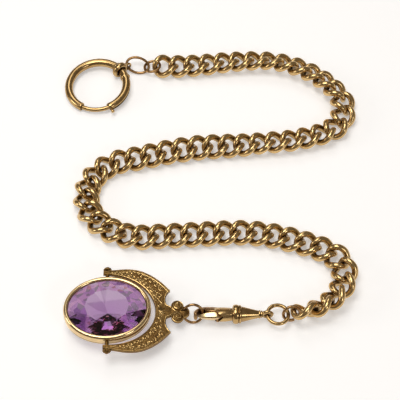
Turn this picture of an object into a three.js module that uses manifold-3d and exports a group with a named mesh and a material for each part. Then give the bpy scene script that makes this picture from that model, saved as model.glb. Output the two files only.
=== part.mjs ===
// Pocket watch chain: bolt ring, curb links laid in an S, swivel clip and a swivelling amethyst fob.
// Millimetres, +Z up. The chain lies on the XY plane. +X runs to the right, +Y away from the wearer's side.

import * as THREE from 'three';
import { mergeVertices } from 'three/addons/utils/BufferGeometryUtils.js';
import { ConvexGeometry } from 'three/addons/geometries/ConvexGeometry.js';
import Module from 'manifold-3d';

const wasm = await Module();
wasm.setup();

// ---- Driving dimensions ----

// Curb links
const linkWire = 0.9;            // wire radius
const linkOpeningLength = 5.2;   // clear opening along the chain
const linkOpeningWidth = 4.8;    // clear opening across the chain
const linkTwist = 50;            // degrees of twist at each end
const solderLap = 0.2;           // how far the wires of two soldered links sink into each other
const slackPlay = 0.7;           // play between the wires of two free links
const linkSteps = 14;
const linkSides = 6;

// How the chain lies: each run is a number of links and the turn over them in degrees
const runs = [
  [3, 8], [3, -7], [2, -18], [4, -37], [4, -105], [3, -15], [4, -1], [4, 10],
  [2, -3], [6, 128], [3, 44], [5, 0], [3, -17], [3, -10], [3, -90], [3, -56],
];
const firstLink = { x: -11.2, y: 51.0, heading: -0.5 };
const lastLink = 56;
// Lean of the links about the chain's own line, in degrees, at a few link numbers
const leans = [
  [1, 5], [5, -12], [8, -27], [13, -25], [15, -5], [17, 14], [21, 14],
  [23, -5], [25, -15], [28, -8], [31, 0], [50, 0], [56, 60],
];

// Bolt ring
const ringRadius = 9.4;          // tube centreline
const tubeOuter = 1.25;
const tubeWall = 0.3;
const boltPlay = 0.23;
const tubeStart = -65;           // degrees round the ring, the end that the bolt slides into
const tubeEnd = 240;             // degrees, the end that the bolt meets
const boltStart = 237;
const boltEnd = 350;
const slotPlay = 0.1;            // each side of the knob's pin
const slotEnd = -8;
const knobAngle = -62.5;
const knobRadius = 0.5;
const pinRadius = 0.3;
const bandAngle = 41;
const collarAngles = [18.5, 50.5];
const collarStep = 0.3;          // how far a collar stands out from the tube
const collarWire = 0.42;

// Swivel band and its eye
const bandWire = 0.62;
const bandPlay = 0.25;           // round the tube
const bandEyeRadius = 1.18;
const bandEyeWire = 0.42;
const bandDrop = -20;            // degrees the eye hangs below the ring's plane

// Loops between the bolt ring and the links
const ovalHalfLength = 3.7;
const ovalHalfWidth = 2.45;
const ovalWire = 0.44;
const ovalPlay = 0.53;
const ovalTurn = [37, 0, -15];
const smallRingRadius = 2.55;
const smallRingWire = 0.48;
const smallRingPlay = 0.167;
const smallRingTurn = [-9, -9, 0];

// Rings between the links and the clip
const jumpRadius = 2.45;
const jumpWire = 0.47;
const jumpPlay = 0.236;
const jumpTurn = [66, 10, 0];
const jumpGap = 14;              // degrees left open
const swivelRadius = 3.05;
const swivelWire = 0.52;
const swivelPlay = 0.54;
const swivelDip = 2;             // degrees

// Swivel eye and clip
const clipZ = 3.1;
const clipLean = -35;            // degrees the hook leans about the clip's axis
const eyeRadius = 1.32;
const eyeWire = 0.46;
const eyeReach = 2.0;            // from the cone's tip to the eye's middle
const shankRadius = 0.5;
const shankHead = 0.85;
const shankLength = 4.4;
const shankHeadLength = 0.8;
const boreClearance = 0.15;
const collarStart = 9.5;
const collarLength = 2.6;
const coneLength = 5.5;
const coneTipRadius = 1.05;
const coneBaseRadius = 2.3;
const domeRadius = 2.85;
const hookThickness = 2.3;
const hookBevel = 0.25;
const leverThickness = 2.0;
const leverPivot = { x: 5.2, y: -1.5 };
const leverPinRadius = 0.4;
const pinClearance = 0.1;
const cheekOuter = 1.75;
const leverSlot = 1.2;

// Fob ring, finial, yoke
const fobRingX = -1.9;
const fobRingRadius = 2.85;
const fobRingWire = 0.4;
const lobeReach = 8.18;          // from the opening's end to the middle of the drilled lobe
const lobeY = -0.14;
const lobeZ = -0.47;
const fobTurn = 1.6;             // degrees
const yokeDip = 7;               // degrees the yoke slopes down towards the clip
const yokeThickness = 1.5;
const openingPlayX = 1.25;       // between the bezel and the yoke's opening
const openingPlayY = 1.0;
const cusp = [21.62, 5.973];     // degrees round the opening, and width of the crescent there
const stemHalf = 1.5;
const lobeRadius = 1.85;
const lobeHeight = 1.15;
const lobeHole = 1.0;
const pivotPinRadius = 0.55;
const pivotPlay = 0.06;
const rosetteRadius = 1.45;

// Bezel and stone
const bezelHalfLength = 12.65;
const bezelHalfWidth = 10.4;
const bezelWall = 1.1;
const bezelBelow = 1.5;
const bezelAbove = 1.7;
const stonePlay = 0.15;
const crownHeight = 2.5;
const pavilionDepth = 5.4;
const tableShare = 0.66;
const girdleHalf = 0.35;

// ---- Sizes that follow ----

const linkHalfLength = linkOpeningLength / 2 + linkWire;
const linkHalfWidth = linkOpeningWidth / 2 + linkWire;
const soldered = linkOpeningLength + solderLap;
const slack = linkOpeningLength - slackPlay;
const tubeBore = tubeOuter - tubeWall;
const boltRadius = tubeBore - boltPlay;
const slotWidth = 2 * (pinRadius + slotPlay);
const knobOut = tubeOuter + 0.85;
const collarRadius = tubeOuter + collarStep;
const bandRadius = tubeOuter + bandPlay + bandWire;
const coneBase = collarStart + collarLength;
const coneTip = coneBase + coneLength;
const eyeX = coneTip + eyeReach;
const yokeInnerLength = bezelHalfLength + openingPlayX;
const yokeInnerWidth = bezelHalfWidth + openingPlayY;
const lobeX = yokeInnerLength + lobeReach;
const bandDepth = bandRadius + bandWire;
const bandToEye = bandRadius + bandEyeRadius;

// ---- Materials ----

const gold = (name, color, roughness) => new THREE.MeshStandardMaterial({
  name, color, roughness, metalness: 1,
});
const linkGold = gold('link_gold', 0xb08a4c, 0.28);
const tubeGold = gold('tube_gold', 0xb8924f, 0.25);
const ringGold = gold('ring_gold', 0x9c7443, 0.32);
const yokeGold = gold('yoke_gold', 0x96703a, 0.45);
const bezelGold = gold('bezel_gold', 0xc9a46a, 0.22);
const amethyst = new THREE.MeshStandardMaterial({
  name: 'amethyst', color: 0xa06eaa, roughness: 0.05, metalness: 0,
});

// ---- Helpers ----

const rad = THREE.MathUtils.degToRad;

// A closed mesh as a manifold solid
function solid(geometry) {
  const bare = geometry.clone();
  bare.deleteAttribute('normal');
  bare.deleteAttribute('uv');
  const merged = mergeVertices(bare, 1e-4);
  return new wasm.Manifold(new wasm.Mesh({
    numProp: 3,
    vertProperties: new Float32Array(merged.attributes.position.array),
    triVerts: new Uint32Array(merged.index.array),
  }));
}

// A manifold solid back as a geometry
function geometryOf(body) {
  const mesh = body.getMesh();
  const points = new Float32Array(mesh.numVert * 3);
  for (let i = 0; i < mesh.numVert; i += 1) {
    for (let k = 0; k < 3; k += 1) {
      points[3 * i + k] = mesh.vertProperties[mesh.numProp * i + k];
    }
  }
  const geometry = new THREE.BufferGeometry();
  geometry.setAttribute('position', new THREE.BufferAttribute(points, 3));
  geometry.setIndex(new THREE.BufferAttribute(new Uint32Array(mesh.triVerts), 1));
  geometry.computeVertexNormals();
  return geometry;
}

const join = (...list) => geometryOf(list.map(solid).reduce((a, b) => a.add(b)));
const cut = (base, ...tools) => geometryOf(
  tools.map(solid).reduce((a, b) => a.subtract(b), solid(base)),
);

function circle(radius, sides) {
  const shape = new THREE.Shape();
  for (let i = 0; i < sides; i += 1) {
    const a = (2 * Math.PI * (i + 0.5)) / sides;
    const move = i === 0 ? 'moveTo' : 'lineTo';
    shape[move](radius * Math.cos(a), radius * Math.sin(a));
  }
  shape.closePath();
  return shape;
}

// An arc of a circle in the XY plane, angles in degrees
class ArcCurve3 extends THREE.Curve {
  constructor(radius, from, to) {
    super();
    this.radius = radius;
    this.from = rad(from);
    this.to = rad(to);
  }

  getPoint(t, target = new THREE.Vector3()) {
    const a = this.from + (this.to - this.from) * t;
    return target.set(this.radius * Math.cos(a), this.radius * Math.sin(a), 0);
  }
}

// A closed oval in the XY plane
class OvalCurve extends THREE.Curve {
  constructor(halfLength, halfWidth) {
    super();
    this.halfLength = halfLength;
    this.halfWidth = halfWidth;
  }

  getPoint(t, target = new THREE.Vector3()) {
    const a = 2 * Math.PI * t;
    return target.set(this.halfLength * Math.cos(a), this.halfWidth * Math.sin(a), 0);
  }
}

// The centreline of one curb link: an oval twisted about the chain's line
class CurbCurve extends THREE.Curve {
  getPoint(t, target = new THREE.Vector3()) {
    const a = 2 * Math.PI * t;
    const twist = -rad(linkTwist) * Math.cos(a);
    const y = linkHalfWidth * Math.sin(a);
    return target.set(linkHalfLength * Math.cos(a), y * Math.cos(twist), y * Math.sin(twist));
  }
}

const loop = (curve, steps, wire, sides) => new THREE.TubeGeometry(curve, steps, wire, sides, true);
const arcBar = (radius, from, to, shape, steps) => new THREE.ExtrudeGeometry(shape, {
  steps, bevelEnabled: false, extrudePath: new ArcCurve3(radius, from, to),
});
const rod = (radius, length, sides) => new THREE.CylinderGeometry(radius, radius, length, sides);

const root = new THREE.Group();

function place(parent, name, geometry, material, position, rotation = [0, 0, 0]) {
  const mesh = new THREE.Mesh(geometry, material);
  mesh.name = name;
  mesh.position.set(...position);
  mesh.rotation.set(...rotation.map(rad));
  parent.add(mesh);
  return mesh;
}

// ---- The route of the chain ----

const lerpTable = (table, at) => {
  const next = table.findIndex(([n]) => n >= at);
  if (next <= 0) return table[Math.max(next, 0)][1];
  const [n0, v0] = table[next - 1];
  const [n1, v1] = table[next];
  return v0 + ((v1 - v0) * (at - n0)) / (n1 - n0);
};

const headings = [firstLink.heading];
for (const [count, turn] of runs) {
  for (let i = 0; i < count; i += 1) {
    headings.push(headings[headings.length - 1] + turn / count);
  }
}

// Height of a link's middle above its wire's lowest point, for a lean in degrees
function linkRise(lean) {
  let rise = 0;
  for (let i = 0; i < 90; i += 1) {
    const a = (Math.PI * i) / 90;
    const angle = rad(linkTwist) * Math.cos(a) - rad(lean);
    rise = Math.max(rise, Math.abs(linkHalfWidth * Math.sin(a) * Math.sin(angle)));
  }
  return rise;
}

const stations = [];
for (let n = 1; n <= lastLink; n += 1) {
  const heading = headings[n - 1];
  const lean = lerpTable(leans, n);
  const position = new THREE.Vector3(firstLink.x, firstLink.y, linkRise(lean) + linkWire);
  if (n > 1) {
    const before = stations[n - 2];
    const spacing = n % 2 === 0 ? soldered : slack;
    const course = rad((before.heading + heading) / 2);
    position.x = before.position.x + spacing * Math.cos(course);
    position.y = before.position.y + spacing * Math.sin(course);
  }
  stations.push({ position, heading, lean });
}

const stationMatrix = ({ position, heading, lean }) => new THREE.Matrix4()
  .makeRotationZ(rad(heading))
  .multiply(new THREE.Matrix4().makeRotationX(rad(lean)))
  .setPosition(position);

// Wire of the chain's two ends, and the fittings that hang from them one after another
const wireEnd = (station, side) => station.position.clone().add(new THREE.Vector3(
  side * linkHalfLength * Math.cos(rad(station.heading)),
  side * linkHalfLength * Math.sin(rad(station.heading)),
  0,
));
const smallRingReach = smallRingRadius - smallRingWire - linkWire - smallRingPlay;
const smallRingCentre = wireEnd(stations[0], -1)
  .addScaledVector(new THREE.Vector3(-0.897, 0.269, -0.325), smallRingReach);
// The bolt ring rests on its far edge and on the band, and the oval loop follows the band's eye
const ringTilt = THREE.MathUtils.radToDeg(Math.asin((bandDepth - tubeOuter) / (2 * ringRadius)));
const ringHeight = (bandDepth + 0.05 + tubeOuter) / 2;
const bandReach = ringRadius + bandToEye * Math.cos(rad(bandDrop));
const eyeHeight = ringHeight + bandReach * Math.sin(rad(ringTilt))
  + bandToEye * Math.sin(rad(bandDrop)) * Math.cos(rad(ringTilt));
const ovalCentre = new THREE.Vector3(
  smallRingCentre.x + smallRingWire + ovalWire + ovalPlay - smallRingRadius - ovalHalfLength,
  smallRingCentre.y + 0.6,
  eyeHeight + 0.133,
);
const ringCentre = {
  x: ovalCentre.x - ovalHalfLength + 0.335 - bandReach * Math.cos(rad(bandAngle)),
  y: ovalCentre.y - 0.5 - bandReach * Math.sin(rad(bandAngle)),
};
const jumpReach = jumpRadius - jumpWire - linkWire - jumpPlay;
const jumpCentre = wireEnd(stations[lastLink - 1], 1)
  .addScaledVector(new THREE.Vector3(-0.635, 0.0947, -0.767), jumpReach);
const clipX = jumpCentre.x - jumpRadius + jumpWire + swivelWire + swivelPlay - 2 * swivelRadius - eyeX;
const clipY = jumpCentre.y - 0.18;

// ---- Curb links, two to a piece ----

const rootPair = 13;
const curb = loop(new CurbCurve(), linkSteps, linkWire, linkSides);
for (let pair = 0; pair < lastLink / 2; pair += 1) {
  const [a, b] = [stations[2 * pair], stations[2 * pair + 1]];
  // Each piece turns about the crossing on the side nearer the middle of the chain
  const near = pair < rootPair ? [b, stations[2 * pair + 2]] : [a, stations[2 * pair - 1]];
  const pivot = pair === rootPair
    ? a.position.clone().add(b.position).multiplyScalar(0.5)
    : near[0].position.clone().add(near[1].position).multiplyScalar(0.5);
  const heading = pair === rootPair ? (a.heading + b.heading) / 2 : (near[0].heading + near[1].heading) / 2;
  const frame = new THREE.Matrix4().makeRotationZ(rad(heading)).setPosition(pivot);
  const toLocal = frame.clone().invert();
  const pieces = [a, b].map((s) => curb.clone().applyMatrix4(toLocal.clone().multiply(stationMatrix(s))));
  const label = [2 * pair + 1, 2 * pair + 2].map((n) => String(n).padStart(2, '0')).join('_');
  place(root, `links_${label}`, join(...pieces), linkGold, pivot.toArray(), [0, 0, heading]);
}

// ---- Bolt ring ----

const boltRing = new THREE.Group();
boltRing.position.set(ringCentre.x, ringCentre.y, ringHeight);
boltRing.quaternion.setFromAxisAngle(
  new THREE.Vector3(Math.sin(rad(bandAngle)), -Math.cos(rad(bandAngle)), 0),
  rad(ringTilt),
);
root.add(boltRing);

const onRing = (angle, out = 0) => [
  (ringRadius + out) * Math.cos(rad(angle)),
  (ringRadius + out) * Math.sin(rad(angle)),
  0,
];

const tubeShape = circle(tubeOuter, 8);
const tubeSolid = arcBar(ringRadius, tubeStart, tubeEnd, tubeShape, 26);
const boreFirst = arcBar(ringRadius, tubeStart - 3, 60, circle(tubeBore, 8), 12);
const boreLast = arcBar(ringRadius, tubeEnd - 12, tubeEnd + 3, circle(tubeBore, 6), 2);
const slotShape = new THREE.Shape();
slotShape.moveTo(-1, -1).lineTo(1, -1).lineTo(1, 1).lineTo(-1, 1).closePath();
const slotBar = arcBar(ringRadius + tubeOuter - 0.15, tubeStart - 3, slotEnd, slotShape, 8);
slotBar.scale(1, 1, slotWidth / 2);
const collars = collarAngles.map((angle) => {
  const ring = new THREE.TorusGeometry(collarRadius - collarWire, collarWire, 5, 12);
  ring.applyMatrix4(new THREE.Matrix4().makeRotationX(Math.PI / 2));
  ring.applyMatrix4(new THREE.Matrix4().makeRotationZ(rad(angle)));
  return ring.translate(...onRing(angle));
});
const collared = collars.map(solid).reduce((a, b) => a.add(b), solid(tubeSolid));
const tube = [boreFirst, boreLast, slotBar].map(solid).reduce((a, b) => a.subtract(b), collared);
place(boltRing, 'bolt_ring_tube', geometryOf(tube), tubeGold, [0, 0, 0]);

const boltBar = arcBar(ringRadius, boltStart, boltEnd, circle(boltRadius, 8), 12);
const pinInner = boltRadius - 0.27;
const pinOuter = knobOut - 0.15;
const knobPin = rod(pinRadius, pinOuter - pinInner, 8)
  .applyMatrix4(new THREE.Matrix4().makeRotationZ(rad(knobAngle - 90)))
  .translate(...onRing(knobAngle, (pinInner + pinOuter) / 2));
const knob = new THREE.SphereGeometry(knobRadius, 8, 6).translate(...onRing(knobAngle, knobOut));
place(boltRing, 'bolt', join(boltBar, knobPin, knob), tubeGold, [0, 0, 0]);

// Swivel band: a ring on the tube with a small eye at its outer side
const bandEye = new THREE.TorusGeometry(bandEyeRadius, bandEyeWire, 6, 12)
  .translate(bandRadius + bandEyeRadius, 0, 0);
const band = join(new THREE.TorusGeometry(bandRadius, bandWire, 6, 14), bandEye);
band.applyMatrix4(new THREE.Matrix4().makeRotationX(Math.PI / 2));
band.applyMatrix4(new THREE.Matrix4().makeRotationY(rad(-bandDrop)));
place(boltRing, 'swivel_band', band, tubeGold, onRing(bandAngle), [0, 0, bandAngle]);

// ---- Oval loop and small ring ----

const smallRing = new THREE.TorusGeometry(smallRingRadius, smallRingWire, 6, 16);
place(root, 'small_ring', smallRing, ringGold, smallRingCentre.toArray(), smallRingTurn);

const oval = loop(new OvalCurve(ovalHalfLength, ovalHalfWidth), 18, ovalWire, 6);
place(root, 'oval_loop', oval, ringGold, ovalCentre.toArray(), ovalTurn);

// ---- Jump ring, swivel ring ----

const jump = arcBar(jumpRadius, -60 + jumpGap / 2, 300 - jumpGap / 2, circle(jumpWire, 6), 16);
place(root, 'jump_ring', jump, ringGold, jumpCentre.toArray(), jumpTurn);

const swivelRing = new THREE.TorusGeometry(swivelRadius, swivelWire, 6, 18);
swivelRing.translate(swivelRadius, 0, 0);
place(root, 'swivel_ring', swivelRing, tubeGold, [clipX + eyeX, clipY, clipZ], [0, swivelDip, 0]);

// ---- Swivel eye ----

const clip = new THREE.Group();
clip.position.set(clipX, clipY, clipZ);
clip.rotation.x = rad(clipLean);
root.add(clip);

// Turned parts are drawn as a profile (x along the clip, radius) and spun about X
const turned = (profile, sides) => new THREE.LatheGeometry(
  profile.map(([x, r]) => new THREE.Vector2(r, x)),
  sides,
).applyMatrix4(new THREE.Matrix4().makeRotationZ(-Math.PI / 2));

const eyeLoop = new THREE.TorusGeometry(eyeRadius, eyeWire, 8, 14)
  .applyMatrix4(new THREE.Matrix4().makeRotationX(Math.PI / 2));
const eyeShank = turned([
  [-shankLength - shankHeadLength, 0], [-shankLength - shankHeadLength, shankHead],
  [-shankLength, shankHead], [-shankLength, shankRadius], [0.2 - eyeReach, shankRadius],
  [0.2 - eyeReach, 1.05], [0.55 - eyeReach, 1.05], [0.12 - eyeRadius, 0.6], [0.32 - eyeRadius, 0],
], 10);
place(root, 'swivel_eye', join(eyeLoop, eyeShank), tubeGold, [clipX + eyeX, clipY, clipZ]);

// ---- Clip body ----

const boreRadius = shankRadius + boreClearance;
const cavity = shankHead + boreClearance;
const cavityEnd = eyeX - shankLength + boreClearance;
const cavityStart = cavityEnd - shankHeadLength - 1.05;
const barrel = turned([
  [collarStart - 1, 0], [collarStart - 1, 1.6], [collarStart, 1.9], [collarStart + 0.2, 2.5],
  [collarStart + 0.9, domeRadius], [collarStart + 1.6, domeRadius],
  [coneBase - 0.3, coneBaseRadius + 0.25],
  [coneBase, coneBaseRadius], [coneBase + 0.42 * coneLength, 1.7], [coneTip, coneTipRadius],
  [coneTip, boreRadius], [cavityEnd, boreRadius], [cavityEnd, cavity],
  [cavityStart, cavity], [cavityStart, 0],
], 18);

const hookShape = new THREE.Shape();
hookShape.moveTo(collarStart - 0.1, 1.7);
hookShape.lineTo(4.5, 2.35);
hookShape.quadraticCurveTo(1.5, 2.6, 0.2, 2.1);
hookShape.quadraticCurveTo(-1.4, 1.3, -1.75, -0.3);
hookShape.lineTo(-1.6, -1.6);
hookShape.lineTo(-0.75, -1.75);
hookShape.lineTo(-0.6, -0.7);
hookShape.quadraticCurveTo(-0.4, 1.0, 1.2, 1.3);
hookShape.lineTo(4.2, 1.2);
hookShape.lineTo(4.9, 0.2);
hookShape.lineTo(4.9, -2.3);
hookShape.lineTo(6.0, -2.4);
hookShape.lineTo(collarStart - 0.1, -1.8);
hookShape.closePath();
const hookPlate = new THREE.ExtrudeGeometry(hookShape, {
  depth: hookThickness - 2 * hookBevel,
  bevelEnabled: true,
  bevelThickness: hookBevel,
  bevelSize: hookBevel,
  bevelOffset: -hookBevel,
  bevelSegments: 1,
  curveSegments: 4,
}).translate(0, 0, -hookThickness / 2 + hookBevel);
const cheeks = new THREE.BoxGeometry(4.6, 3.4, 2 * cheekOuter).translate(7.1, -0.5, 0);
const leverPocket = new THREE.BoxGeometry(3.4, 4.0, 2 * leverSlot).translate(4.9, -1.9, 0);
const pinBore = rod(leverPinRadius + pinClearance, 6, 10)
  .rotateX(Math.PI / 2)
  .translate(leverPivot.x, leverPivot.y, 0);
const body = solid(barrel).add(solid(hookPlate)).add(solid(cheeks))
  .subtract(solid(leverPocket))
  .subtract(solid(pinBore));
place(clip, 'clip_body', geometryOf(body), tubeGold, [0, 0, 0]);

// ---- Lever and its pin ----

const leverShape = new THREE.Shape();
leverShape.moveTo(1.0, 0.5);
leverShape.lineTo(0.2, 0.85);
leverShape.quadraticCurveTo(-2.4, 1.0, -4.2, 0.75);
leverShape.lineTo(-5.65, 0.1);
leverShape.lineTo(-5.6, -0.25);
leverShape.quadraticCurveTo(-3.0, -1.3, -0.2, -0.95);
leverShape.lineTo(1.0, -0.5);
leverShape.closePath();
const leverPlate = new THREE.ExtrudeGeometry(leverShape, {
  depth: leverThickness - 2 * hookBevel,
  bevelEnabled: true,
  bevelThickness: hookBevel,
  bevelSize: hookBevel,
  bevelOffset: -hookBevel,
  bevelSegments: 1,
  curveSegments: 4,
}).translate(0, 0, -leverThickness / 2 + hookBevel);
const leverBore = rod(leverPinRadius + pinClearance, 6, 10).rotateX(Math.PI / 2);
place(clip, 'lever', cut(leverPlate, leverBore), tubeGold, [leverPivot.x, leverPivot.y, 0]);
place(
  clip,
  'lever_pin',
  rod(leverPinRadius, 2 * cheekOuter + 0.2, 10).rotateX(Math.PI / 2),
  ringGold,
  [leverPivot.x, leverPivot.y, 0],
);

// ---- Fob ring ----

const fobRing = new THREE.TorusGeometry(fobRingRadius, fobRingWire, 6, 18)
  .rotateX(Math.PI / 2)
  .translate(-fobRingRadius, 0, 0);
place(clip, 'fob_ring', fobRing, ringGold, [fobRingX + fobRingRadius, 0.45, 0]);

// ---- Fob: finial, yoke, pivots ----

// The fob hangs so that the drilled lobe meets the far side of its ring
const fob = new THREE.Group();
fob.rotation.set(0, 0, rad(fobTurn));
root.add(fob);
const yokeFrame = new THREE.Group();
yokeFrame.rotation.y = rad(yokeDip);
fob.add(yokeFrame);
root.updateMatrixWorld(true);
const holeSpot = clip.localToWorld(new THREE.Vector3(fobRingX - fobRingRadius, 0.45, 0));
const finialHole = new THREE.Vector3(lobeX, lobeY, lobeZ);
const holeReach = yokeFrame.localToWorld(finialHole.clone());
fob.position.subVectors(holeSpot, holeReach);

// A place on the crescent: degrees round its opening, and distance out from the opening's edge
function onCrescent(angle, out) {
  const [c, s] = [Math.cos(rad(angle)), Math.sin(rad(angle))];
  const normal = new THREE.Vector2(c / yokeInnerLength, s / yokeInnerWidth).normalize();
  return [yokeInnerLength * c + out * normal.x, yokeInnerWidth * s + out * normal.y];
}
const yokeShape = new THREE.Shape();
const outline = [[83.955, 1.569], [69.275, 2.971], [56.865, 4.031], [44.825, 4.621], [32.775, 5.229]]
  .map(([angle, out]) => onCrescent(angle, out));
const [cuspX, cuspY] = onCrescent(...cusp);
const armEnd = -1.2;
const armOuter = yokeInnerWidth + 1.3;
const neckX = yokeInnerLength + 3.3;
yokeShape.moveTo(armEnd, armOuter);
yokeShape.lineTo(armEnd, yokeInnerWidth + 0.1);
const innerSteps = 14;
for (let i = 0; i <= innerSteps; i += 1) {
  const a = rad(90 - (180 * i) / innerSteps);
  yokeShape.lineTo(yokeInnerLength * Math.cos(a), yokeInnerWidth * Math.sin(a));
}
yokeShape.lineTo(armEnd, -yokeInnerWidth - 0.1);
yokeShape.lineTo(armEnd, -armOuter);
outline.forEach(([x, y]) => yokeShape.lineTo(x, -y));
yokeShape.lineTo(cuspX, -cuspY);
yokeShape.quadraticCurveTo(neckX - 1, -4.6, neckX, -stemHalf - 0.6);
yokeShape.lineTo(neckX + 1.4, -stemHalf);
yokeShape.lineTo(neckX + 1.4, stemHalf);
yokeShape.lineTo(neckX, stemHalf + 0.6);
yokeShape.quadraticCurveTo(neckX - 1, 4.6, cuspX, cuspY);
outline.slice().reverse().forEach(([x, y]) => yokeShape.lineTo(x, y));
yokeShape.closePath();
const yokePlate = new THREE.ExtrudeGeometry(yokeShape, {
  depth: yokeThickness - 0.5,
  bevelEnabled: true,
  bevelThickness: 0.25,
  bevelSize: 0.25,
  bevelOffset: -0.25,
  bevelSegments: 1,
  curveSegments: 4,
}).translate(0, 0, -yokeThickness / 2 + 0.25);
const pivotBore = rod(pivotPinRadius + pivotPlay, 4 * yokeInnerWidth, 10);
place(yokeFrame, 'yoke', cut(yokePlate, pivotBore), yokeGold, [0, 0, 0]);

// Finial: three lobes, the outer one drilled for the fob ring
root.updateMatrixWorld(true);
const holeAxis = new THREE.Vector3(0, 0, 1).transformDirection(clip.matrixWorld);
const lobe = (x, y) => new THREE.SphereGeometry(lobeRadius, 10, 6)
  .rotateX(Math.PI / 2)
  .scale(1, 1, lobeHeight / lobeRadius)
  .translate(x, y, 0);
const finialX = lobeX - 1.78;
const neckStart = neckX + 1.7;
const neckLength = finialX + 0.8 - neckStart;
const finialNeck = new THREE.BoxGeometry(neckLength, 2 * stemHalf - 0.8, yokeThickness - 0.3)
  .translate(neckStart + neckLength / 2, 0, 0);
const drill = rod(lobeHole, 8, 12)
  .rotateX(Math.PI / 2)
  .applyQuaternion(new THREE.Quaternion().setFromUnitVectors(
    new THREE.Vector3(0, 0, 1),
    holeAxis.clone().transformDirection(yokeFrame.matrixWorld.clone().invert()),
  ))
  .translate(finialHole.x, finialHole.y, finialHole.z);
const lobes = join(
  lobe(finialX, 1.75),
  lobe(finialX, -1.75),
  lobe(finialHole.x, finialHole.y),
  finialNeck,
);
place(yokeFrame, 'finial', cut(lobes, drill), yokeGold, [0, 0, 0]);

// Pivot pins with rosette heads
const pinEnd = armOuter + 0.3;
for (const [name, side] of [['pivot_far', 1], ['pivot_near', -1]]) {
  const profile = [
    [bezelHalfWidth - 0.8, 0], [bezelHalfWidth - 0.8, pivotPinRadius], [pinEnd, pivotPinRadius],
    [pinEnd, rosetteRadius], [pinEnd + 0.35, rosetteRadius], [pinEnd + 0.7, 0.7],
    [pinEnd + 1.1, 0.6], [pinEnd + 1.3, 0],
  ];
  const pin = new THREE.LatheGeometry(profile.map(([y, r]) => new THREE.Vector2(r, y)), 12);
  if (side < 0) pin.rotateZ(Math.PI);
  place(yokeFrame, name, pin, yokeGold, [0, 0, 0]);
}

// ---- Bezel and stone ----

const oval2 = bezelHalfWidth / bezelHalfLength;
const inner = bezelHalfLength - bezelWall;
const bezelProfile = [
  [inner, -bezelBelow], [bezelHalfLength - 0.3, -bezelBelow], [bezelHalfLength, -bezelBelow + 0.4],
  [bezelHalfLength, bezelAbove - 0.8], [bezelHalfLength - 0.4, bezelAbove], [inner, bezelAbove],
  [inner, -bezelBelow],
];
const bezelRing = new THREE.LatheGeometry(bezelProfile.map(([r, z]) => new THREE.Vector2(r, z)), 32)
  .rotateX(Math.PI / 2)
  .scale(1, oval2, 1);
place(fob, 'bezel', cut(bezelRing, rod(pivotPinRadius + 0.1, 4 * bezelHalfWidth, 10)), bezelGold, [0, 0, 0]);

const stonePoints = [];
const stoneRing = (share, z, count, offset) => {
  for (let i = 0; i < count; i += 1) {
    const a = (2 * Math.PI * (i + offset)) / count;
    stonePoints.push(new THREE.Vector3(
      share * (inner - stonePlay) * Math.cos(a),
      share * (inner - stonePlay) * oval2 * Math.sin(a),
      z,
    ));
  }
};
stoneRing(tableShare, crownHeight, 8, 0.5);
stoneRing(0.86, crownHeight * 0.62, 8, 0);
stoneRing(1, girdleHalf, 16, 0.5);
stoneRing(1, -girdleHalf, 16, 0.5);
stoneRing(0.62, -pavilionDepth * 0.62, 8, 0);
stoneRing(0.14, -pavilionDepth, 8, 0.5);
place(fob, 'amethyst', new ConvexGeometry(stonePoints), amethyst, [0, 0, 0]);

// Origin: middle of the footprint, on the surface the chain lies on
const bounds = new THREE.Box3().setFromObject(root, true);
const middle = bounds.getCenter(new THREE.Vector3());
root.position.set(-middle.x, -middle.y, -bounds.min.z);

export default root;
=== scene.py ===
# %% [markdown]
# # A pocket watch chain with a swivelling amethyst
# The chain lies in an S on a pale table. From the bolt ring at one end it runs through fifty-six curb links to a
# spring clip, and the clip carries a stone that spins in a gold yoke. Each step below says what a piece is, how it
# could be made in Blender, and why one way was picked. Lengths are in millimetres until a mesh is made.

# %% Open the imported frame
import math

import bmesh
import bpy
from mathutils import Matrix, Vector


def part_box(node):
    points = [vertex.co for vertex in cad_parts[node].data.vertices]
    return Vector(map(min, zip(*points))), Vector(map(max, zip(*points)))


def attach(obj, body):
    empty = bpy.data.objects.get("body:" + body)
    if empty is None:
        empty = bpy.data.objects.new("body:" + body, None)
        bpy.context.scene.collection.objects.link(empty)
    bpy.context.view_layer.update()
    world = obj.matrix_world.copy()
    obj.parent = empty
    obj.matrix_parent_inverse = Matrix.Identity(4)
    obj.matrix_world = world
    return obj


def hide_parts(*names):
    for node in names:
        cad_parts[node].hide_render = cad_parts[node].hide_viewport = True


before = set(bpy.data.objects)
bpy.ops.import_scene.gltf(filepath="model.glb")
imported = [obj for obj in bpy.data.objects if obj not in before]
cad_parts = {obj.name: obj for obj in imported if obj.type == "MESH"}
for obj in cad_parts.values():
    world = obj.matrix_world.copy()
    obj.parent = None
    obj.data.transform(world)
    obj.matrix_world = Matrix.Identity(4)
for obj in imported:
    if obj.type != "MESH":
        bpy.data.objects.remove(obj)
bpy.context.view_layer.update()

# %% [markdown]
# ## Where the drawing sits
# The drawing of this chain has its own zero. The bezel is an oval with its middle at a known spot of the drawing,
# so its box in the frame tells how far the whole drawing was shifted. One vector then places every piece.

# %% Measure the shift from drawing to frame
fob_centre = Vector((-26.6, -41.8, 6.0))
bezel_below = 1.5
low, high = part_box("bezel")
shift = 500 * (low + high) - fob_centre
shift.z = 1000 * low.z - (fob_centre.z - bezel_below)
print("drawing shift in mm:", [round(v, 4) for v in shift])

# %% [markdown]
# ## Bending wire
# Most of a chain is wire. A curve object with a bevel could draw it, but a mesh swept along a path lets the wire
# swell, taper and close on itself. The frame of each ring of points is carried from the last one, and a closed
# wire spreads the left-over twist along its length so that it meets itself cleanly.

# %% Sweep a round section along a path


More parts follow.
